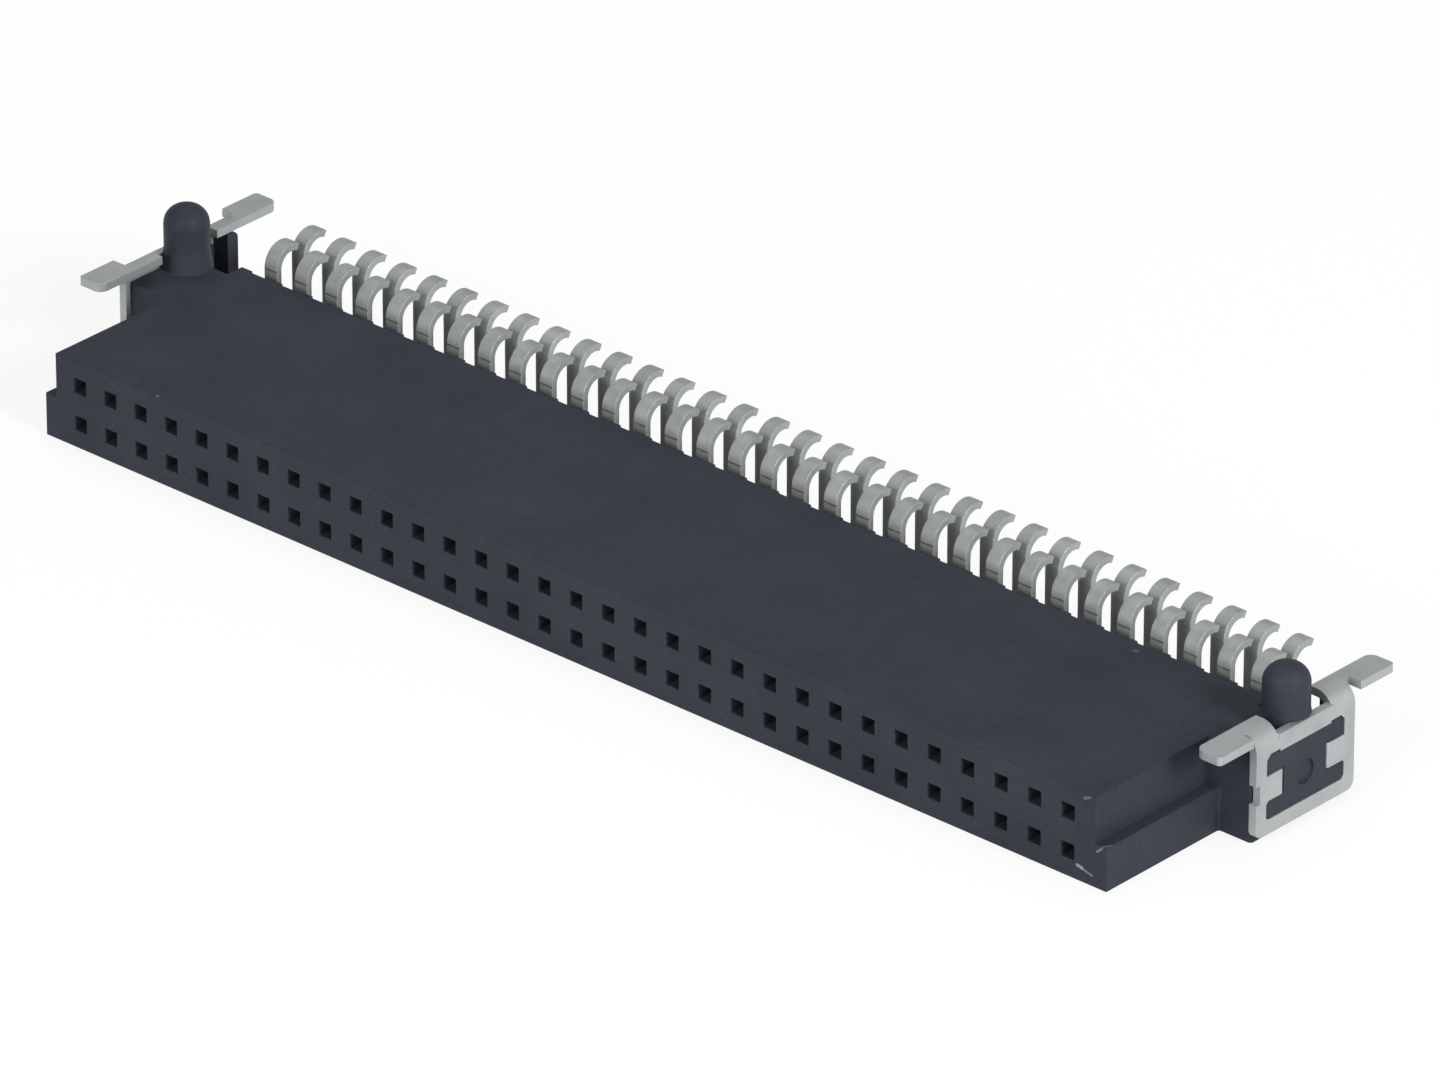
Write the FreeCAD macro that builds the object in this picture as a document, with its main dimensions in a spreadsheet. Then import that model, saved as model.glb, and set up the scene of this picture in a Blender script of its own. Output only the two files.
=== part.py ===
"""
Angled female board connector with two rows of socket contacts, lying with its board side up.

The housing is one moulding: a long block with the sockets in its front face, an ear at
each end and a round locating peg on each ear. A stamped hold-down clip sits on the outer
side of each ear, and its two solder wings lie in the board plane. Each column holds two
contacts, whose tails come out at the back, turn up and curl over into solder feet.

X runs along the row, Y from the mating face to the back, Z up towards the board.
The origin is on the resting face, midway between the two pegs. The sizes below are
measured from the mating face, and each body is then placed so that the pegs are at Y = 0.
"""

import FreeCAD, Part
import math
import os
import re
import Sketcher

doc = FreeCAD.newDocument("board_connector")

# Driving sizes in millimetres, angles in degrees
sizes = {
    "columns": 32,
    "column_spacing": 1.27,
    "row_gap": 1.27,
    "row_height": 0.823,
    "end_margin": 1.015,
    "body_height": 2.9,
    "body_depth": 7.95,
    "key_step": 0.45,
    "key_height": 1.42,
    "socket_width": 0.5,
    "socket_wall": 0.6,
    "cavity_width": 0.84,
    "cavity_height": 0.84,
    "rear_slot_width": 0.86,
    "rear_slot_depth": 0.09,
    "rear_slot_drop": 0.45,
    "ear_width": 1.66,
    "ear_front_reach": 2.01,
    "ear_rear_reach": 2.1,
    "ear_wall": 0.58,
    "ear_wall_length": 0.45,
    "ear_wall_round": 0.25,
    "ear_step_height": 2.0,
    "ear_fillet": 0.1,
    "ear_corner": 0.12,
    "corner_notch_width": 0.15,
    "corner_notch_length": 0.65,
    "corner_notch_drop": 1.1,
    "peg_inset": 0.46,
    "peg_setback": 1.0,
    "peg_radius": 0.717,
    "peg_tip_round": 0.6,
    "peg_reach": 1.27,
    "foot_radius": 0.8,
    "board_gap": 0.1,
    "board_rise": 0.76,
    "mark_radius": 0.4,
    "mark_depth": 0.08,
    "mark_drop": 0.1,
    "clip_thickness": 0.27,
    "clip_gap": 0.04,
    "clip_half": 2.18,
    "clip_bottom": 0.27,
    "clip_corner": 0.28,
    "clip_bend": 0.65,
    "clip_bridge_drop": 0.31,
    "shoulder_gap": 2.4,
    "wing_half": 3.88,
    "wing_inner_reach": 0.89,
    "wing_outer_reach": 0.04,
    "wing_inner_corner": 0.3,
    "wing_outer_corner": 0.12,
    "relief_width": 0.2,
    "relief_depth": 0.44,
    "edge_notch_depth": 0.18,
    "edge_notch_bottom": 1.38,
    "edge_notch_height": 0.62,
    "window_half": 1.73,
    "window_bottom": 0.74,
    "bridge_height": 0.56,
    "lobe_length": 0.6,
    "lobe_rise": 0.08,
    "lobe_cut": 0.17,
    "foot_cut": 0.09,
    "pad_clearance": 0.03,
    "pad_recess": 0.03,
    "tab_bottom": 1.36,
    "tab_share": 0.395,
    "tab_bend": 0.1,
    "tab_spacing": 1.94,
    "tab_depth": 0.5,
    "tab_clearance": 0.02,
    "tail_width": 0.5,
    "tail_thickness": 0.22,
    "inner_leg_gap": 0.35,
    "leg_gap": 1.2,
    "leg_chamfer": 0.14,
    "hook_radius": 0.7,
    "hook_angle": 118,
    "fork_width": 0.74,
    "fork_height": 0.62,
    "fork_front": 0.8,
    "spring_length": 4.4,
    "fork_base": 1.2,
    "spring_thickness": 0.17,
    "grip_gap": 0.34,
    "lead_in": 0.3,
    "cut_margin": 0.3,
}

# Places along Y from the mating face and along Z from the resting face that follow from
# them, and the heights of the clip's window and of its tabs
places = {
    "peg_middle": "=body_depth - peg_setback",
    "ear_front": "=peg_middle - ear_front_reach",
    "ear_rear": "=peg_middle + ear_rear_reach",
    "ear_wall_front": "=ear_rear - ear_wall_length",
    "board_height": "=body_height + board_rise",
    "window_height": "=board_height - clip_bridge_drop - bridge_height - window_bottom",
    "tab_height": "=window_height * tab_share",
    "inner_leg": "=body_depth + inner_leg_gap",
    "fork_root": "=fork_front + spring_length",
    "fork_rear": "=fork_root + fork_base",
}

sheet = doc.addObject("Spreadsheet::Sheet", "Sizes")
for row, (word, value) in enumerate({**sizes, **places}.items(), start=1):
    sheet.set("A%d" % row, word)
    sheet.set("B%d" % row, str(value))
    sheet.setAlias("B%d" % row, word)
doc.recompute()


def sized(formula):
    """A formula in the sheet's words, with the sheet's name put before each of them."""
    return re.sub(r"[a-z][a-z_]*", lambda found: "Sizes." + found.group(0), formula)


def bind(item, name, formula):
    item.setExpression(name, sized(formula))


def newBody(name):
    """A body moved so that the pegs' middle line is at Y = 0."""
    body = doc.addObject("PartDesign::Body", name)
    body.Label = name
    bind(body, "Placement.Base.y", "-peg_middle")
    return body


def newSketch(body, name, plane, offset="0"):
    """An empty sketch on one of the body's origin planes, moved along its normal."""
    sketch = body.newObject("Sketcher::SketchObject", name)
    support = [item for item in body.Origin.OriginFeatures if item.Role == plane][0]
    sketch.AttachmentSupport = [(support, "")]
    sketch.MapMode = "FlatFace"
    bind(sketch, "AttachmentOffset.Base.z", offset)
    return sketch


def addOutline(sketch, corners):
    """A closed outline of straight lines. It starts on a circle, and each corner is then
    held at its two formulas, measured from the sketch's origin."""
    count = len(corners)
    turns = [2 * math.pi * place / count for place in range(count)]
    starts = [FreeCAD.Vector(math.cos(turn), math.sin(turn), 0) for turn in turns]
    first = sketch.GeometryCount
    for place in range(count):
        sketch.addGeometry(Part.LineSegment(starts[place], starts[(place + 1) % count]))
    for place in range(count):
        line = first + place
        following = first + (place + 1) % count
        sketch.addConstraint(Sketcher.Constraint("Coincident", line, 2, following, 1))
    for place, corner in enumerate(corners):
        for kind, formula in zip(("DistanceX", "DistanceY"), corner):
            holder = Sketcher.Constraint(kind, -1, 1, first + place, 1, 1.0)
            number = sketch.addConstraint(holder)
            bind(sketch, "Constraints[%d]" % number, formula)


def addBox(sketch, low, high):
    """A rectangle from its low corner to its high one."""
    (left, bottom), (right, top) = low, high
    addOutline(sketch, [(left, bottom), (right, bottom), (right, top), (left, top)])


def addCircle(sketch, middle, radius):
    across, along = middle
    circle = sketch.addGeometry(Part.Circle(FreeCAD.Vector(1, 1, 0), FreeCAD.Vector(0, 0, 1), 1))
    for kind, formula in (("DistanceX", across), ("DistanceY", along)):
        number = sketch.addConstraint(Sketcher.Constraint(kind, -1, 1, circle, 3, 1.0))
        bind(sketch, "Constraints[%d]" % number, formula)
    number = sketch.addConstraint(Sketcher.Constraint("Radius", circle, 1.0))
    bind(sketch, "Constraints[%d]" % number, radius)


def addFeature(body, kind, name, sketch, length, reverse=False, middle=False):
    """A pad or a pocket of the sketch, with a check that it changed the solid."""
    before = body.Shape.Volume if body.Tip else 0
    feature = body.newObject("PartDesign::" + kind, name)
    feature.Profile = sketch
    feature.Reversed = reverse
    if middle:
        feature.SideType = "Symmetric"
    bind(feature, "Length", length)
    sketch.Visibility = False
    body.Tip = feature
    doc.recompute()
    checkGrowth(body, before, kind == "Pad", name)
    return feature


def checkGrowth(body, before, grows, name):
    change = body.Shape.Volume - before
    if (change > 0) != grows or abs(change) < 1e-9:
        raise RuntimeError(name + " changed the volume by " + str(change))


def revolve(body, name, sketch, angle, reverse):
    """The sketch turned about its own construction line."""
    before = body.Shape.Volume
    feature = body.newObject("PartDesign::Revolution", name)
    feature.Profile = sketch
    feature.ReferenceAxis = (sketch, ["Axis0"])
    feature.Reversed = reverse
    bind(feature, "Angle", angle)
    body.Tip = feature
    doc.recompute()
    checkGrowth(body, before, True, name)
    return feature


def addAxis(sketch, start, end):
    """A construction line held at both ends, which a revolution turns about."""
    line = sketch.addGeometry(Part.LineSegment(FreeCAD.Vector(0, 0, 0), FreeCAD.Vector(1, 1, 0)), True)
    for point, corner in ((1, start), (2, end)):
        for kind, formula in zip(("DistanceX", "DistanceY"), corner):
            number = sketch.addConstraint(Sketcher.Constraint(kind, -1, 1, line, point, 1.0))
            bind(sketch, "Constraints[%d]" % number, formula)


def repeatColumns(body, feature, name):
    """The feature of the first column, repeated at each column of the row."""
    pattern = body.newObject("PartDesign::LinearPattern", name)
    pattern.Originals = [feature]
    pattern.Direction = ([item for item in body.Origin.OriginFeatures if item.Role == "X_Axis"][0], [""])
    bind(pattern, "Length", "column_spacing * (columns - 1)")
    bind(pattern, "Occurrences", "columns")
    body.Tip = pattern
    doc.recompute()
    return pattern


def roundEdges(body, name, radius, wanted):
    """A fillet on the edges of the body that the given test picks."""
    base = body.Tip
    picked = [
        "Edge%d" % (place + 1)
        for place, edge in enumerate(base.Shape.Edges)
        if wanted(edge)
    ]
    fillet = body.newObject("PartDesign::Fillet", name)
    fillet.Base = (base, picked)
    bind(fillet, "Radius", radius)
    body.Tip = fillet
    doc.recompute()
    return fillet


def value(word):
    return float(getattr(sheet, word))


def near(first, second):
    return abs(first - second) < 1e-4


def straight(edge, direction):
    """True for a straight edge along the given axis letter."""
    if edge.Curve.TypeId != "Part::GeomLine":
        return False
    along = dict(zip("xyz", edge.Curve.Direction))
    return near(abs(along[direction]), 1)


def middleOf(edge):
    return edge.BoundBox.Center


# Places that several pieces share, as formulas of the sheet
firstColumn = "(-(columns - 1) / 2 * column_spacing)"
bodyHalf = "((columns - 1) / 2 * column_spacing + end_margin)"
keyHalf = "(%s + key_step)" % bodyHalf
earOuter = "(%s + ear_width)" % bodyHalf
pegPlace = "(%s - peg_inset)" % earOuter
clipInner = "(%s + clip_gap)" % earOuter
clipOuter = "(%s + clip_thickness)" % clipInner
bendStart = "(%s - clip_bend)" % clipOuter
wingBottom = "(board_height - clip_thickness)"
upperRow = "(row_height + row_gap)"
tabTop = "(tab_bottom + tab_height)"
windowFront = "(peg_middle - window_half)"
windowRear = "(peg_middle + window_half)"


def mirrored(side, formula):
    """The formula as it is for the right end, and its negative for the left end."""
    return formula if side > 0 else "(-1 * %s)" % formula


def bothEnds(sketch, near_, far, front, rear):
    """One rectangle at each end of the housing, between two distances from its middle."""
    for side in (1, -1):
        inner = mirrored(side, near_)
        outer = mirrored(side, far)
        low, high = (inner, outer) if side > 0 else (outer, inner)
        addBox(sketch, (low, front), (high, rear))


def makeBlock(body):
    """The long block, wider below the step that keys it in its mating half."""
    sketch = newSketch(body, "BlockSection", "XZ_Plane")
    addOutline(sketch, [
        (mirrored(-1, keyHalf), "0"),
        (keyHalf, "0"),
        (keyHalf, "key_height"),
        (bodyHalf, "key_height"),
        (bodyHalf, "body_height"),
        (mirrored(-1, bodyHalf), "body_height"),
        (mirrored(-1, bodyHalf), "key_height"),
        (mirrored(-1, keyHalf), "key_height"),
    ])
    addFeature(body, "Pad", "Block", sketch, "body_depth", reverse=True)


def makeEars(body):
    """An ear at each end, with a wall at its back that rises to the clip's rear wing."""
    ears = newSketch(body, "EarOutline", "XY_Plane")
    bothEnds(ears, "(%s - end_margin / 2)" % bodyHalf, earOuter, "ear_front", "body_depth")
    addFeature(body, "Pad", "Ears", ears, "body_height")
    steps = newSketch(body, "EarStepOutline", "XY_Plane")
    wallInner = "(%s - ear_wall)" % earOuter
    bothEnds(steps, wallInner, earOuter, "(body_depth - ear_wall)", "ear_wall_front")
    addFeature(body, "Pad", "EarSteps", steps, "ear_step_height")
    walls = newSketch(body, "EarWallOutline", "XY_Plane")
    bothEnds(walls, wallInner, earOuter, "ear_wall_front", "ear_rear")
    wall = addFeature(body, "Pad", "EarWalls", walls, "%s - clip_gap" % wingBottom)
    rear = value("ear_rear")
    top = wall.Shape.BoundBox.ZMax
    roundEdges(body, "EarWallTops", "ear_wall_round", lambda edge: (
        straight(edge, "x")
        and near(middleOf(edge).y, rear)
        and near(middleOf(edge).z, top)
    ))
    front = value("ear_front")
    keySide = (value("columns") - 1) / 2 * value("column_spacing") + value("end_margin") + value("key_step")
    outerSide = wall.Shape.BoundBox.XMax
    roundings = {"EarFillets": (keySide, "ear_fillet"), "EarCorners": (outerSide, "ear_corner")}
    for name, (side, radius) in roundings.items():
        roundEdges(body, name, radius, lambda edge: (
            straight(edge, "z")
            and near(middleOf(edge).y, front)
            and near(abs(middleOf(edge).x), side)
        ))


def cutCornerNotches(body):
    """A corner notch between the block's back corner and the ear, open at the top."""
    sketch = newSketch(body, "CornerNotchOutline", "XY_Plane", "body_height")
    wallInner = "(%s - ear_wall)" % earOuter
    start = "(%s - corner_notch_width)" % bodyHalf
    bothEnds(sketch, start, wallInner, "(body_depth - corner_notch_length)", "(body_depth + ear_wall)")
    addFeature(body, "Pocket", "CornerNotches", sketch, "corner_notch_drop")


def makePegs(body):
    """A locating peg on each ear, with a flared foot and a domed tip."""
    tip = "(board_height + peg_reach)"
    root = "(body_height - ear_wall)"
    for side, name in ((1, "Right"), (-1, "Left")):
        axle = mirrored(side, pegPlace)
        footEdge = "(%s + foot_radius)" % axle
        pegEdge = "(%s + peg_radius)" % axle
        sketch = newSketch(body, name + "PegSection", "XZ_Plane", "-peg_middle")
        addOutline(sketch, [
            (axle, root),
            (footEdge, root),
            (footEdge, "body_height"),
            (pegEdge, "(board_height - board_gap)"),
            (pegEdge, tip),
            (axle, tip),
        ])
        addAxis(sketch, (axle, root), (axle, tip))
        revolve(body, name + "Peg", sketch, "360", False)
    top = value("board_height") + value("peg_reach")
    roundEdges(body, "PegTips", "peg_tip_round", lambda edge: (
        edge.Curve.TypeId == "Part::GeomCircle"
        and near(middleOf(edge).z, top)
    ))
    # The foot is cut back below the clip's bridge, so that it overhangs the ear's side
    trims = newSketch(body, "PegFootTrimOutline", "XY_Plane", "(board_height - clip_bridge_drop + clip_gap)")
    reach = "(peg_middle + foot_radius + cut_margin)"
    start = "(peg_middle - foot_radius - cut_margin)"
    bothEnds(trims, earOuter, "(%s + foot_radius)" % earOuter, start, reach)
    addFeature(body, "Pocket", "PegFootTrims", trims, "board_height")


def cutSockets(body):
    """A square socket in the front wall and a wider cavity behind it for each contact."""
    mouths = newSketch(body, "SocketMouths", "XZ_Plane")
    cavities = newSketch(body, "Cavities", "XZ_Plane", "-body_depth")
    for rowHeight in ("row_height", upperRow):
        addBox(
            mouths,
            ("(%s - socket_width / 2)" % firstColumn, "(%s - socket_width / 2)" % rowHeight),
            ("(%s + socket_width / 2)" % firstColumn, "(%s + socket_width / 2)" % rowHeight),
        )
        addBox(
            cavities,
            ("(%s - cavity_width / 2)" % firstColumn, "(%s - cavity_height / 2)" % rowHeight),
            ("(%s + cavity_width / 2)" % firstColumn, "(%s + cavity_height / 2)" % rowHeight),
        )
    mouth = addFeature(body, "Pocket", "Mouth", mouths, "socket_wall + cut_margin")
    repeatColumns(body, mouth, "MouthRow")
    cavity = addFeature(body, "Pocket", "Cavity", cavities, "body_depth - socket_wall", reverse=True)
    repeatColumns(body, cavity, "CavityRow")


def cutRearSlots(body):
    """Shallow slots down the block's back edge, one behind each column."""
    sketch = newSketch(body, "RearSlotOutline", "XY_Plane", "body_height")
    addBox(
        sketch,
        ("(%s - rear_slot_width / 2)" % firstColumn, "(body_depth - rear_slot_depth)"),
        ("(%s + rear_slot_width / 2)" % firstColumn, "(body_depth + rear_slot_depth)"),
    )
    slot = addFeature(body, "Pocket", "RearSlot", sketch, "rear_slot_drop")
    repeatColumns(body, slot, "RearSlotRow")


def tabFronts():
    """Where each of the clip's two tabs starts, counted from the front."""
    return (
        "(peg_middle - tab_spacing / 2 - clip_thickness)",
        "(peg_middle + tab_spacing / 2)",
    )


def windowCorners(gap):
    """The clip's window, with a lobe in each upper corner and a tab left standing at each
    side. The pad that fills the window is smaller than it by the gap all round."""
    front = "(%s + %s)" % (windowFront, gap)
    rear = "(%s - %s)" % (windowRear, gap)
    bottom = "(window_bottom + %s)" % gap
    top = "(window_bottom + window_height - %s)" % gap
    lobeTop = "(%s + lobe_rise)" % top
    lobeFront = "(%s + lobe_length - %s)" % (windowFront, gap)
    lobeRear = "(%s - lobe_length + %s)" % (windowRear, gap)
    tabFront = "(peg_middle - tab_spacing / 2 + %s)" % gap
    tabRear = "(peg_middle + tab_spacing / 2 - %s)" % gap
    below = "(tab_bottom - %s)" % gap
    above = "(%s + %s)" % (tabTop, gap)
    return [
        ("(%s + foot_cut)" % front, bottom),
        ("(%s - foot_cut)" % rear, bottom),
        (rear, "(%s + foot_cut)" % bottom),
        (rear, "(%s - foot_cut)" % below),
        ("(%s - foot_cut)" % rear, below),
        (tabRear, below),
        (tabRear, above),
        (rear, above),
        (rear, "(%s - lobe_cut)" % lobeTop),
        ("(%s - lobe_cut)" % rear, lobeTop),
        (lobeRear, lobeTop),
        (lobeRear, top),
        (lobeFront, top),
        (lobeFront, lobeTop),
        ("(%s + lobe_cut)" % front, lobeTop),
        (front, "(%s - lobe_cut)" % lobeTop),
        (front, above),
        (tabFront, above),
        (tabFront, below),
        ("(%s + foot_cut)" % front, below),
        (front, "(%s - foot_cut)" % below),
        (front, "(%s + foot_cut)" % bottom),
    ]


def makeEarPads(body):
    """A pad on each ear that fills the clip's window, with a shallow round mark in it."""
    height = "clip_gap + clip_thickness - pad_recess"
    for side, name in ((1, "Right"), (-1, "Left")):
        outline = newSketch(body, name + "EarPadOutline", "YZ_Plane", mirrored(side, earOuter))
        addOutline(outline, windowCorners("pad_clearance"))
        addFeature(body, "Pad", name + "EarPad", outline, height, reverse=side < 0)
        face = mirrored(side, "(%s + %s)" % (earOuter, height))
        mark = newSketch(body, name + "MarkOutline", "YZ_Plane", face)
        addCircle(mark, ("peg_middle", "(tab_bottom + tab_height / 2 - mark_drop)"), "mark_radius")
        addFeature(body, "Pocket", name + "Mark", mark, "mark_depth", reverse=side < 0)


def cutTabSlots(body):
    """The slots in the ears that take the clips' tabs."""
    slots = newSketch(body, "TabSlotOutline", "XY_Plane", "(%s + tab_clearance)" % tabTop)
    inner = "(%s - tab_depth)" % earOuter
    outer = "(%s + clip_thickness + cut_margin)" % earOuter
    for front in tabFronts():
        rear = "(%s + clip_thickness + tab_clearance)" % front
        bothEnds(slots, inner, outer, "(%s - tab_clearance)" % front, rear)
    addFeature(body, "Pocket", "TabSlots", slots, "tab_height + 2 * tab_clearance")


def makeHousing():
    body = newBody("housing")
    makeBlock(body)
    makeEars(body)
    makePegs(body)
    cutCornerNotches(body)
    cutRearSlots(body)
    makeEarPads(body)
    cutTabSlots(body)
    cutSockets(body)
    return body


clipFront = "(peg_middle - clip_half)"
clipRear = "(peg_middle + clip_half)"
gapFront = "(peg_middle - shoulder_gap / 2)"
gapRear = "(peg_middle + shoulder_gap / 2)"
bendHeight = "(board_height - clip_bend)"
bridgeTop = "(board_height - clip_bridge_drop)"


def makeClipPlate(body):
    """The upright plate, with a bridge between its shoulders and a notch in its front edge."""
    sketch = newSketch(body, "PlateOutline", "YZ_Plane", clipInner)
    notchRear = "(%s + edge_notch_depth)" % clipFront
    notchTop = "(edge_notch_bottom + edge_notch_height)"
    addOutline(sketch, [
        (clipFront, "clip_bottom"),
        (clipRear, "clip_bottom"),
        (clipRear, bendHeight),
        (gapRear, bendHeight),
        (gapRear, bridgeTop),
        (gapFront, bridgeTop),
        (gapFront, bendHeight),
        (clipFront, bendHeight),
        (clipFront, notchTop),
        (notchRear, notchTop),
        (notchRear, "edge_notch_bottom"),
        (clipFront, "edge_notch_bottom"),
    ])
    addFeature(body, "Pad", "Plate", sketch, "clip_thickness")
    low = value("clip_bottom")
    roundEdges(body, "PlateCorners", "clip_corner", lambda edge: (
        straight(edge, "x")
        and near(middleOf(edge).z, low)
    ))


def cutClipWindow(body):
    """The window that the ear's pad fills, which leaves the two tabs standing."""
    sketch = newSketch(body, "WindowOutline", "YZ_Plane", clipInner)
    addOutline(sketch, windowCorners("0"))
    addFeature(body, "Pocket", "Window", sketch, "clip_thickness + cut_margin", reverse=True)


def addClipTabs(body):
    """The tabs' ends, bent inwards to press into the ear's slots."""
    sketch = newSketch(body, "TabOutline", "XY_Plane", "tab_bottom")
    inner = "(%s - tab_depth + 2 * tab_clearance)" % earOuter
    for front in tabFronts():
        addBox(sketch, (inner, front), (clipInner, "(%s + clip_thickness)" % front))
    addFeature(body, "Pad", "Tabs", sketch, "tab_height")
    middle = value("peg_middle")
    reach = value("tab_spacing") / 2
    outer = body.Shape.BoundBox.XMax
    roundEdges(body, "TabBends", "tab_bend", lambda edge: (
        straight(edge, "z")
        and near(abs(middleOf(edge).y - middle), reach)
        and near(middleOf(edge).x, outer)
    ))


def addShoulders(body):
    """Two shoulders, bent through a right angle from the plate into the board plane."""
    sketch = newSketch(body, "ShoulderSection", "XY_Plane", bendHeight)
    addBox(sketch, (clipInner, clipFront), (clipOuter, gapFront))
    addBox(sketch, (clipInner, gapRear), (clipOuter, clipRear))
    addAxis(sketch, (bendStart, clipFront), (bendStart, clipRear))
    revolve(body, "Shoulders", sketch, "90", True)


def addWings(body):
    """The solder wings, wider past the plate, with a relief beside each bend."""
    sketch = newSketch(body, "WingOutline", "XY_Plane", wingBottom)
    inner = "(%s - wing_inner_reach)" % clipOuter
    outer = "(%s + wing_outer_reach)" % clipOuter
    relief = "(%s - relief_depth)" % clipOuter
    for end in ("-", "+"):
        tip = "(peg_middle %s wing_half)" % end
        side = "(peg_middle %s clip_half)" % end
        wide = "(peg_middle %s (clip_half + relief_width))" % end
        gap = "(peg_middle %s shoulder_gap / 2)" % end
        addOutline(sketch, [
            (inner, tip),
            (outer, tip),
            (outer, wide),
            (relief, wide),
            (relief, side),
            (bendStart, side),
            (bendStart, gap),
            (inner, gap),
        ])
    addFeature(body, "Pad", "Wings", sketch, "clip_thickness")
    middle = value("peg_middle")
    reach = value("wing_half")
    sides = {"Inner": body.Shape.BoundBox.XMax, "Outer": body.Shape.BoundBox.XMax}
    sides["Inner"] -= value("wing_inner_reach") + value("wing_outer_reach")
    for name, place in sides.items():
        roundEdges(body, name + "WingCorners", "wing_%s_corner" % name.lower(), lambda edge: (
            straight(edge, "z")
            and near(abs(middleOf(edge).y - middle), reach)
            and near(middleOf(edge).x, place)
        ))


def makeHoldDowns():
    """The right clip, and the same clip turned half round the part's middle for the left end."""
    body = newBody("hold_down_right")
    makeClipPlate(body)
    cutClipWindow(body)
    addClipTabs(body)
    addShoulders(body)
    addWings(body)
    twin = doc.addObject("Part::Compound", "hold_down_left")
    twin.Label = "hold_down_left"
    twin.Links = [body]
    twin.Placement.Rotation = FreeCAD.Rotation(FreeCAD.Vector(0, 0, 1), 180)
    doc.recompute()
    return [body, twin]


def makeContact(name, rowHeight, leg):
    """One contact on the middle line: a fork that grips the pin, and a tail with a curled foot."""
    body = newBody(name)
    low = "(%s - fork_height / 2)" % rowHeight
    floorTop = "(%s + tail_thickness)" % low
    legRear = "(%s + tail_thickness)" % leg
    hookStart = "(board_height - hook_radius)"

    fork = newSketch(body, name + "ForkOutline", "XY_Plane", low)
    addOutline(fork, [
        ("(-fork_width / 2)", "fork_rear"),
        ("(-fork_width / 2)", "fork_root"),
        ("(-grip_gap / 2 - spring_thickness)", "fork_front"),
        ("(-grip_gap / 2)", "(fork_front + lead_in)"),
        ("(-grip_gap / 2)", "fork_root"),
        ("(grip_gap / 2)", "fork_root"),
        ("(grip_gap / 2)", "(fork_front + lead_in)"),
        ("(grip_gap / 2 + spring_thickness)", "fork_front"),
        ("(fork_width / 2)", "fork_root"),
        ("(fork_width / 2)", "fork_rear"),
    ])
    addFeature(body, "Pad", name + "Fork", fork, "fork_height")

    tail = newSketch(body, name + "TailOutline", "YZ_Plane")
    addOutline(tail, [
        ("fork_root + spring_thickness", low),
        ("(%s - leg_chamfer)" % legRear, low),
        (legRear, "(%s + leg_chamfer)" % low),
        (legRear, hookStart),
        (leg, hookStart),
        (leg, floorTop),
        ("fork_root + spring_thickness", floorTop),
    ])
    addFeature(body, "Pad", name + "Tail", tail, "tail_width", middle=True)

    hook = newSketch(body, name + "HookSection", "XY_Plane", hookStart)
    addBox(hook, ("(-tail_width / 2)", leg), ("(tail_width / 2)", legRear))
    axle = "(%s + hook_radius)" % leg
    addAxis(hook, ("(-tail_width)", axle), ("tail_width", axle))
    revolve(body, name + "Hook", hook, "hook_angle", True)
    return body


def makeContacts():
    """Every column holds a copy of the same two contacts, moved to its place in the row."""
    upper = makeContact("upper_contact", upperRow, "inner_leg")
    lower = makeContact("lower_contact", "row_height", "(inner_leg + leg_gap)")
    columns = []
    for place in range(int(value("columns"))):
        pair = doc.addObject("Part::Compound", "contact_pair_%02d" % (place + 1))
        pair.Label = pair.Name
        pair.Links = [upper, lower]
        bind(pair, "Placement.Base.x", "%s + %d * column_spacing" % (firstColumn, place))
        columns.append(pair)
    doc.recompute()
    return columns


def checkDocument():
    for item in doc.Objects:
        if "Invalid" in item.State or "Error" in item.State:
            raise RuntimeError(item.Name + " has state " + str(item.State))


def writeParts(pieces):
    os.makedirs("parts", exist_ok=True)
    for piece in pieces:
        if piece.Shape.isNull() or not piece.Shape.isValid():
            raise RuntimeError(piece.Label + " has no valid shape")
    for piece in pieces:
        piece.Shape.exportStep("parts/%s.step" % piece.Label)
        box = piece.Shape.BoundBox
        print(piece.Label, len(piece.Shape.Solids), round(piece.Shape.Volume, 4),
              [round(number, 3) for number in (box.XMin, box.YMin, box.ZMin, box.XMax, box.YMax, box.ZMax)])


pieces = [makeHousing()] + makeHoldDowns() + makeContacts()
checkDocument()
writeParts(pieces)
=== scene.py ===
# Angled board connector with two rows of sockets, on a pale floor
import math
import bpy
from mathutils import Matrix, Vector

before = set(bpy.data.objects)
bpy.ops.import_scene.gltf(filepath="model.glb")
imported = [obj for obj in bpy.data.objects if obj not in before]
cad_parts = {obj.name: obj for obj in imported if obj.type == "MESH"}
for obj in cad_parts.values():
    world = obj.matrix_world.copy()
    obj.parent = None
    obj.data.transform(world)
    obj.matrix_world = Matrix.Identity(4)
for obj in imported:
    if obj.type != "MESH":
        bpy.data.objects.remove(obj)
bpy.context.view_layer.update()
print("frame loaded:", len(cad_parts), "nodes")


# Camera, from the photo's vanishing lines: metres and degrees, lens and sensor in millimetres
cameraView = {
    "azimuth": 42.166,
    "elevation": 27.773,
    "distance": 0.41312,
    "aside": -0.004682,
    "above": -0.003413,
    "aimY": -0.00695,
    "lens": 351.79,
    "sensor": 36,
    "nearest": 0.01,
    "farthest": 10,
}


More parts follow.
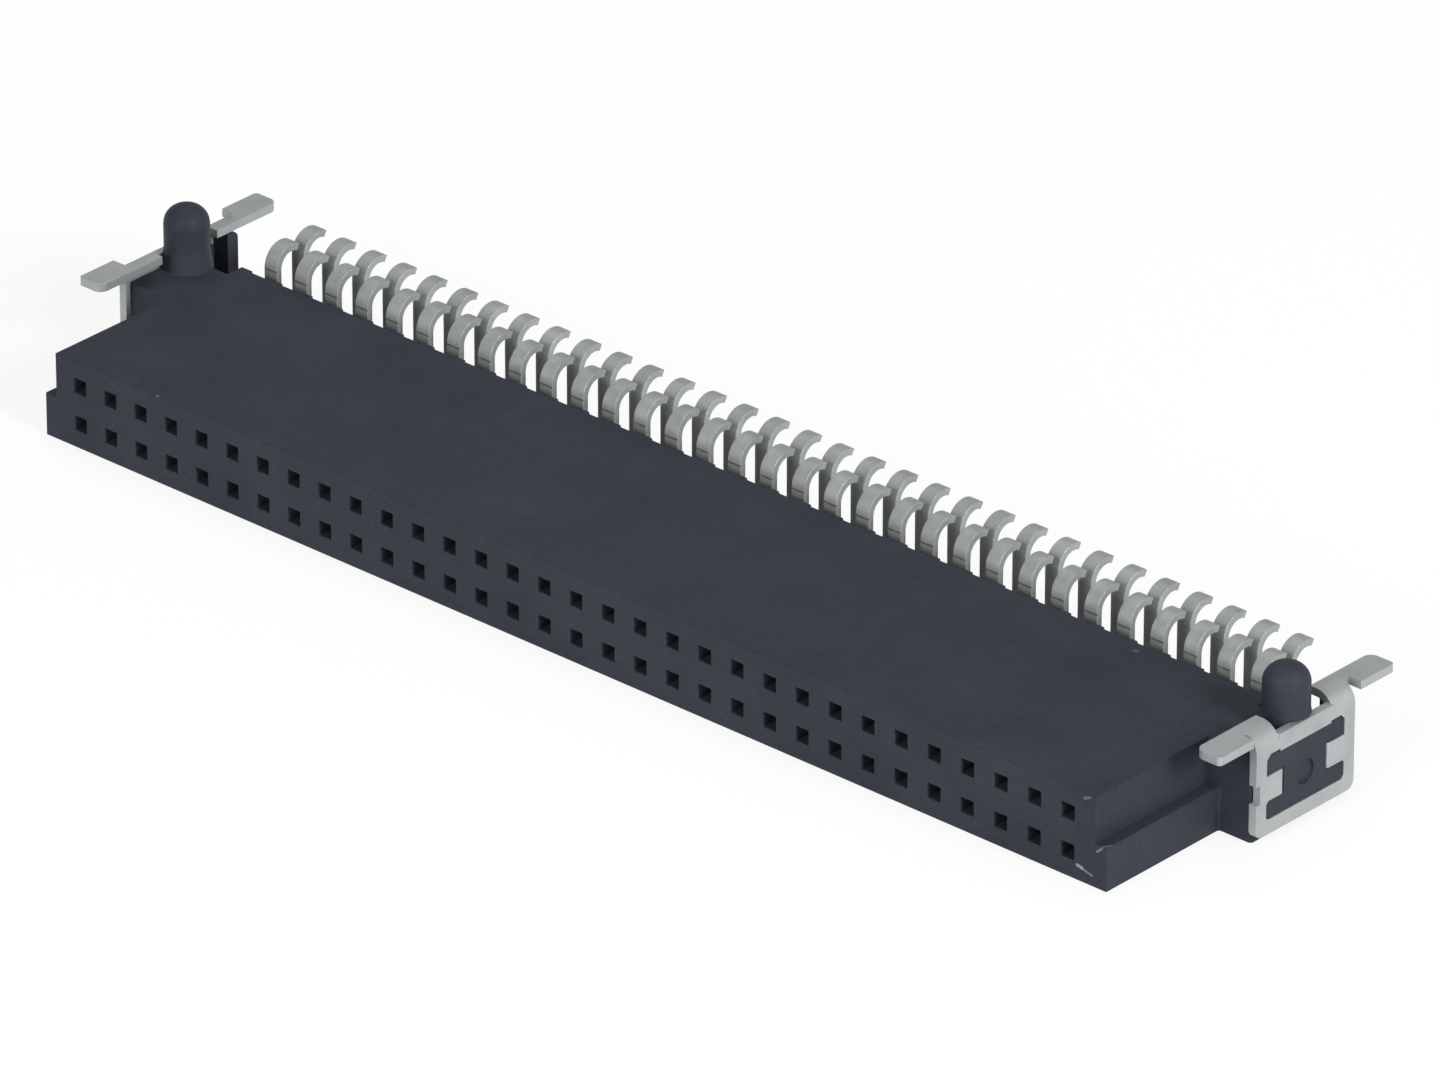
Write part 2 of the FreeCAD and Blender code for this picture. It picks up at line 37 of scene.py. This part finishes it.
def placeCamera(view):
    turn = math.radians(view["azimuth"])
    tilt = math.radians(view["elevation"])
    level = math.cos(tilt)
    back = Vector((math.sin(turn) * level, -math.cos(turn) * level, math.sin(tilt)))
    right = Vector((math.cos(turn), math.sin(turn), 0))
    up = back.cross(right)
    aim = Vector((0, view["aimY"], 0)) - right * view["aside"] - up * view["above"]
    data = bpy.data.cameras.new("camera")
    data.lens = view["lens"]
    data.sensor_width = view["sensor"]
    data.clip_start = view["nearest"]
    data.clip_end = view["farthest"]
    camera = bpy.data.objects.new("camera", data)
    turned = Matrix((right, up, back)).transposed().to_4x4()
    turned.translation = aim + back * view["distance"]
    camera.matrix_world = turned
    bpy.context.scene.collection.objects.link(camera)
    bpy.context.scene.camera = camera


placeCamera(cameraView)
bpy.context.scene.view_settings.view_transform = "Standard"
print("camera placed")


# A wire is one output socket. Python's operators on it add Math nodes.
class Wire:
    def __init__(self, bench, socket):
        self.bench = bench
        self.socket = socket

    def math(self, operation, first, second=None, clamp=False):
        inputs = {0: first} if second is None else {0: first, 1: second}
        settings = {"operation": operation, "use_clamp": clamp}
        return self.bench.add("ShaderNodeMath", settings, inputs)

    def __add__(self, other):
        return self.math("ADD", self, other)

    def __radd__(self, other):
        return self.math("ADD", other, self)

    def __sub__(self, other):
        return self.math("SUBTRACT", self, other)

    def __rsub__(self, other):
        return self.math("SUBTRACT", other, self)

    def __mul__(self, other):
        return self.math("MULTIPLY", self, other)

    def __rmul__(self, other):
        return self.math("MULTIPLY", other, self)

    def __truediv__(self, other):
        return self.math("DIVIDE", self, other)

    def __rtruediv__(self, other):
        return self.math("DIVIDE", other, self)

    def __abs__(self):
        return self.math("ABSOLUTE", self)

    def larger(self, other):
        return self.math("MAXIMUM", self, other)

    def clamped(self):
        return self.math("ADD", self, 0, clamp=True)

    def over(self, low, high):
        # 0 below low, 1 above high
        return ((self - low) / (high - low)).clamped()


# Masks: the rounding's samples, its turn of the normal on a flat and on a sharp edge,
# and the share of a streak's width that fades
masks = {"samples": 6, "flat": 0.01, "sharp": 0.25, "fading": 0.6}
millimetres = 1000


class Bench:
    def __init__(self, tree):
        self.tree = tree
        tree.nodes.clear()

    def add(self, kind, settings=None, inputs=None, output=0):
        node = self.tree.nodes.new(kind)
        for name, value in (settings or {}).items():
            if name == "stops":
                self.setStops(node.color_ramp, value)
            else:
                setattr(node, name, value)
        for name, value in (inputs or {}).items():
            if isinstance(value, Wire):
                self.tree.links.new(value.socket, node.inputs[name])
            else:
                node.inputs[name].default_value = value
        return Wire(self, node.outputs[output])

    def setStops(self, ramp, stops):
        while len(ramp.elements) < len(stops):
            ramp.elements.new(0.5)
        for element, (place, shade) in zip(ramp.elements, stops):
            element.position = place
            element.color = (shade, shade, shade, 1)

    def close(self, surface, kind="ShaderNodeOutputMaterial"):
        node = self.tree.nodes.new(kind)
        self.tree.links.new(surface.socket, node.inputs["Surface"])

    def mixColour(self, factor, first, second):
        first = first if isinstance(first, Wire) else (*first, 1)
        second = second if isinstance(second, Wire) else (*second, 1)
        inputs = {"Factor": factor, 6: first, 7: second}
        return self.add("ShaderNodeMix", {"data_type": "RGBA"}, inputs, 2)

    def part(self, point, axis):
        return self.add("ShaderNodeSeparateXYZ", {}, {0: point}, axis)

    def place(self, scale=1.0, stretch=(1, 1, 1)):
        # The point on the part, in millimetres times the scale
        point = self.add("ShaderNodeTexCoord", output="Object")
        size = [millimetres * scale * share for share in stretch]
        return self.add("ShaderNodeVectorMath", {"operation": "MULTIPLY"}, {0: point, 1: size})

    def noise(self, scale, detail=2, stretch=(1, 1, 1)):
        inputs = {"Vector": self.place(scale, stretch), "Scale": 1.0, "Detail": detail}
        return self.add("ShaderNodeTexNoise", {}, inputs)

    def streak(self, point, start, end, width):
        # 1 on the line between two points, fading to 0 at the width, all in millimetres
        run = Vector(end) - Vector(start)
        away = self.add("ShaderNodeVectorMath", {"operation": "SUBTRACT"}, {0: point, 1: start})
        inputs = {0: away, 1: run / run.length_squared}
        share = self.add("ShaderNodeVectorMath", {"operation": "DOT_PRODUCT"}, inputs, 1)
        inputs = {0: run, "Scale": share.clamped()}
        near = self.add("ShaderNodeVectorMath", {"operation": "SCALE"}, inputs)
        gap = self.add("ShaderNodeVectorMath", {"operation": "DISTANCE"}, {0: away, 1: near}, 1)
        return (1 - gap / width).over(0, masks["fading"])

    def edges(self, radius):
        # 1 on a sharp edge and 0 on a flat, with the rounded normal that goes with it
        rounded = self.add("ShaderNodeBevel", {"samples": masks["samples"]}, {"Radius": radius})
        normal = self.add("ShaderNodeNewGeometry", output="Normal")
        inputs = {0: rounded, 1: normal}
        same = self.add("ShaderNodeVectorMath", {"operation": "DOT_PRODUCT"}, inputs, 1)
        return (1 - same).over(masks["flat"], masks["sharp"]), rounded


def newMaterial(name):
    material = bpy.data.materials.new(name)
    material.use_nodes = True
    return material, Bench(material.node_tree)


# Dark slate plastic of the housing, with the fine grain of its mould. Radii and heights are
# in metres, patches, specks and grains per millimetre, and ranges are cut from the noise.
# A scuff has its two ends and its width in millimetres, and its strength.
plasticLook = {
    "colour": (0.026, 0.03, 0.039),
    "paler": (0.037, 0.0415, 0.052),
    "paleRange": (0.35, 0.7),
    "patches": 0.35,
    "patchShare": 0.6,
    "specks": 7,
    "speckHeight": 2,
    "grains": 18,
    "grainHeight": 0.000004,
    "bump": 0.6,
    "roughness": 0.5,
    "roughnessSpread": 0.12,
    "shine": 0.08,
    "edge": (0.055, 0.06, 0.07),
    "edgeRadius": 0.00005,
    "edgeWear": 0.5,
    "edgePolish": 0.08,
    "wearRange": (0.4, 0.6),
    "scuff": (0.3, 0.31, 0.33),
    "scuffLeast": 0.2,
    "scuffSpread": 1.2,
    "scuffs": [
        ((20.3, -6.95, 2.74), (20.5, -6.95, 2.84), 0.06, 0.35),
        ((20.05, -6.95, 0.48), (20.22, -6.95, 0.45), 0.07, 0.9),
        ((20.2, -6.95, 0.44), (20.6, -6.95, 0.34), 0.05, 0.6),
        ((20.78, -6.95, 1.18), (20.96, -6.95, 1.34), 0.05, 0.55),
        ((21.0, -6.95, 1.4), (21.12, -6.75, 1.42), 0.045, 0.45),
        ((15.77, 0.5, 2.9), (15.83, 0.52, 2.9), 0.1, 0.25),
        ((-16.5, -6.9, 2.9), (-16.42, -6.92, 2.9), 0.05, 0.4),
    ],
}


def makePlastic(look):
    material, bench = newMaterial("slatePlastic")
    cloud = bench.noise(look["patches"], 3)
    speck = bench.noise(look["specks"])
    grain = bench.noise(look["grains"])
    edge, rounded = bench.edges(look["edgeRadius"])
    pale = cloud * look["patchShare"] + speck * (1 - look["patchShare"])
    pale = pale.over(*look["paleRange"])
    colour = bench.mixColour(pale, look["colour"], look["paler"])
    rubbed = edge * look["edgeWear"] * speck.over(*look["wearRange"])
    colour = bench.mixColour(rubbed, colour, look["edge"])
    # Pale scuffs from handling, ragged at their sides
    spot = bench.place()
    worn = sum(bench.streak(spot, *shape) * share for *shape, share in look["scuffs"])
    ragged = look["scuffLeast"] + look["scuffSpread"] * bench.noise(look["grains"], 3)
    colour = bench.mixColour((worn * ragged).clamped(), colour, look["scuff"])
    roughness = look["roughness"] + (cloud - 0.5) * look["roughnessSpread"]
    bump = bench.add("ShaderNodeBump", {}, {
        "Strength": look["bump"],
        "Distance": look["grainHeight"],
        "Height": grain + speck * look["speckHeight"],
        "Normal": rounded,
    })
    surface = bench.add("ShaderNodeBsdfPrincipled", {}, {
        "Base Color": colour,
        "Roughness": roughness - edge * look["edgePolish"],
        "Specular IOR Level": look["shine"],
        "Normal": bump,
    })
    bench.close(surface)
    return material


# Tin plating, satin, with faint rolling lines along the strip. Units as for the plastic.
tinLook = {
    "brightRange": (0.35, 0.65),
    "patches": 1.1,
    "patchShare": 0.7,
    "specks": 9,
    "rolling": (22, 2.5, 2.5),
    "rollingHeight": 0.0000015,
    "bump": 0.5,
    "metal": 0.7,
    "roughness": 0.55,
    "speckRoughness": 0.2,
    "dullRoughness": 0.08,
    "edge": (0.62, 0.64, 0.63),
    "edgeRadius": 0.00003,
    "edgeWear": 0.6,
    "edgePolish": 0.1,
    "wearRange": (0.3, 0.5),
}
# The contacts' painted shade line stands in for the shadow gap under the hooks' bend. It lies
# at a height, in front of the rear limit, in millimetres
contactLook = {
    "name": "contactTin",
    "colour": (0.40, 0.42, 0.41),
    "dull": (0.31, 0.33, 0.32),
    "line": {
        "height": 2.945,
        "width": 0.045,
        "rear": 1.36,
        "fading": 0.03,
        "breaks": 5,
        "breakRange": (0.2, 0.45),
        "strength": 0.9,
        "colour": (0.04, 0.045, 0.05),
    },
}
clipLook = {
    "name": "clipTin",
    "colour": (0.42, 0.44, 0.44),
    "dull": (0.36, 0.38, 0.38),
}


def paintedShadeLine(bench, line):
    # Painted shade: a thin dark line across the front of each inner contact's leg, where the
    # hook's bend shades it, broken here and there
    point = bench.place()
    gap = abs(bench.part(point, 2) - line["height"])
    broken = bench.noise(line["breaks"], 1).over(*line["breakRange"])
    inFront = 1 - (bench.part(point, 1) - line["rear"]).over(0, line["fading"])
    return (1 - gap / line["width"]).clamped() * broken * inFront * line["strength"]


def makeTin(look, shared):
    material, bench = newMaterial(look["name"])
    cloud = bench.noise(shared["patches"], 3)
    speck = bench.noise(shared["specks"])
    rolled = bench.noise(1, 2, shared["rolling"])
    edge, rounded = bench.edges(shared["edgeRadius"])
    bright = cloud * shared["patchShare"] + speck * (1 - shared["patchShare"])
    bright = bright.over(*shared["brightRange"])
    colour = bench.mixColour(bright, look["dull"], look["colour"])
    rubbed = edge * speck.over(*shared["wearRange"]) * shared["edgeWear"]
    colour = bench.mixColour(rubbed, colour, shared["edge"])
    # Painted shade line across the inner legs' fronts, just below the hooks' bend
    if "line" in look:
        line = look["line"]
        colour = bench.mixColour(paintedShadeLine(bench, line), colour, line["colour"])
    roughness = shared["roughness"] + (speck - 0.5) * shared["speckRoughness"]
    roughness = roughness + (1 - bright) * shared["dullRoughness"]
    bump = bench.add("ShaderNodeBump", {}, {
        "Strength": shared["bump"],
        "Distance": shared["rollingHeight"],
        "Height": rolled + speck,
        "Normal": rounded,
    })
    surface = bench.add("ShaderNodeBsdfPrincipled", {}, {
        "Base Color": colour,
        "Metallic": shared["metal"],
        "Roughness": roughness - edge * shared["edgePolish"],
        "Normal": bump,
    })
    bench.close(surface)
    return material


def dress(material, *names):
    for name in names:
        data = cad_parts[name].data
        data.materials.clear()
        data.materials.append(material)


contacts = sorted(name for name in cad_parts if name.startswith("contact"))
dress(makePlastic(plasticLook), "housing")
dress(makeTin(contactLook, tinLook), *contacts)
dress(makeTin(clipLook, tinLook), "hold_down_left", "hold_down_right")
print("materials done")


# White floor and a soft light from all round, in metres and watts
studio = {
    "floorSize": 6.0,
    "floorColour": (0.9, 0.9, 0.9),
    "shadow": 0.2,
    "skyColour": (0.80, 0.82, 0.85),
    "skyStrength": 0.4,
    "wall": [(0.0, 1.0), (0.2, 0.5), (0.5, 0.3), (1.0, 0.26)],
    "lamps": {
        "over": {"at": (-0.15, 0.1, 0.5), "size": 0.4, "power": 0.7},
        "front": {"at": (0.06, -0.54, 0.24), "size": 0.3, "power": 1.9},
        "right": {"at": (0.5, -0.04, 0.26), "size": 0.22, "power": 2.7},
    },
}


def whiteRays(bench):
    # The camera sees a white room, and the metal a bright one
    seen = bench.add("ShaderNodeLightPath", output="Is Camera Ray")
    glossy = bench.add("ShaderNodeLightPath", output="Is Glossy Ray")
    through = bench.add("ShaderNodeLightPath", output="Is Transmission Ray")
    return seen, glossy.larger(through)


def makeFloor(studio):
    half = studio["floorSize"] / 2
    corners = [(-half, -half, 0), (half, -half, 0), (half, half, 0), (-half, half, 0)]
    mesh = bpy.data.meshes.new("floor")
    mesh.from_pydata(corners, [], [(0, 1, 2, 3)])
    floor = bpy.data.objects.new("floor", mesh)
    bpy.context.scene.collection.objects.link(floor)
    material, bench = newMaterial("floorWhite")
    seen, mirrored = whiteRays(bench)
    matte = bench.add("ShaderNodeBsdfDiffuse", {}, {"Color": (*studio["floorColour"], 1)})
    white = bench.add("ShaderNodeEmission", {}, {"Color": (1, 1, 1, 1), "Strength": 1.0})
    # The camera sees a share of the matte floor, and the part's shadow with it
    share = seen * (1 - studio["shadow"]) + mirrored
    surface = bench.add("ShaderNodeMixShader", {}, {0: share, 1: matte, 2: white})
    bench.close(surface)
    mesh.materials.append(material)


def makeSky(studio):
    world = bpy.data.worlds.new("sky")
    world.use_nodes = True
    bpy.context.scene.world = world
    bench = Bench(world.node_tree)
    seen, mirrored = whiteRays(bench)
    light = {"Color": (*studio["skyColour"], 1), "Strength": studio["skyStrength"]}
    soft = bench.add("ShaderNodeBackground", {}, light)
    white = bench.add("ShaderNodeBackground", {}, {"Color": (1, 1, 1, 1), "Strength": 1.0})
    # Metal sees a white room that grows dimmer towards its ceiling
    way = bench.part(bench.add("ShaderNodeTexCoord", output="Generated"), 2)
    dimmer = bench.add("ShaderNodeValToRGB", {"stops": studio["wall"]}, {0: way})
    room = bench.add("ShaderNodeBackground", {}, {"Color": dimmer, "Strength": 1.0})
    surface = bench.add("ShaderNodeMixShader", {}, {0: mirrored, 1: soft, 2: room})
    surface = bench.add("ShaderNodeMixShader", {}, {0: seen, 1: surface, 2: white})
    bench.close(surface, "ShaderNodeOutputWorld")


def makeLamps(studio):
    for name, lamp in studio["lamps"].items():
        data = bpy.data.lights.new(name, "AREA")
        data.shape = "DISK"
        data.size = lamp["size"]
        data.energy = lamp["power"]
        light = bpy.data.objects.new(name, data)
        light.location = lamp["at"]
        light.rotation_mode = "QUATERNION"
        light.rotation_quaternion = (-Vector(lamp["at"])).to_track_quat("-Z", "Y")
        bpy.context.scene.collection.objects.link(light)


makeFloor(studio)
makeSky(studio)
makeLamps(studio)
print("studio done")
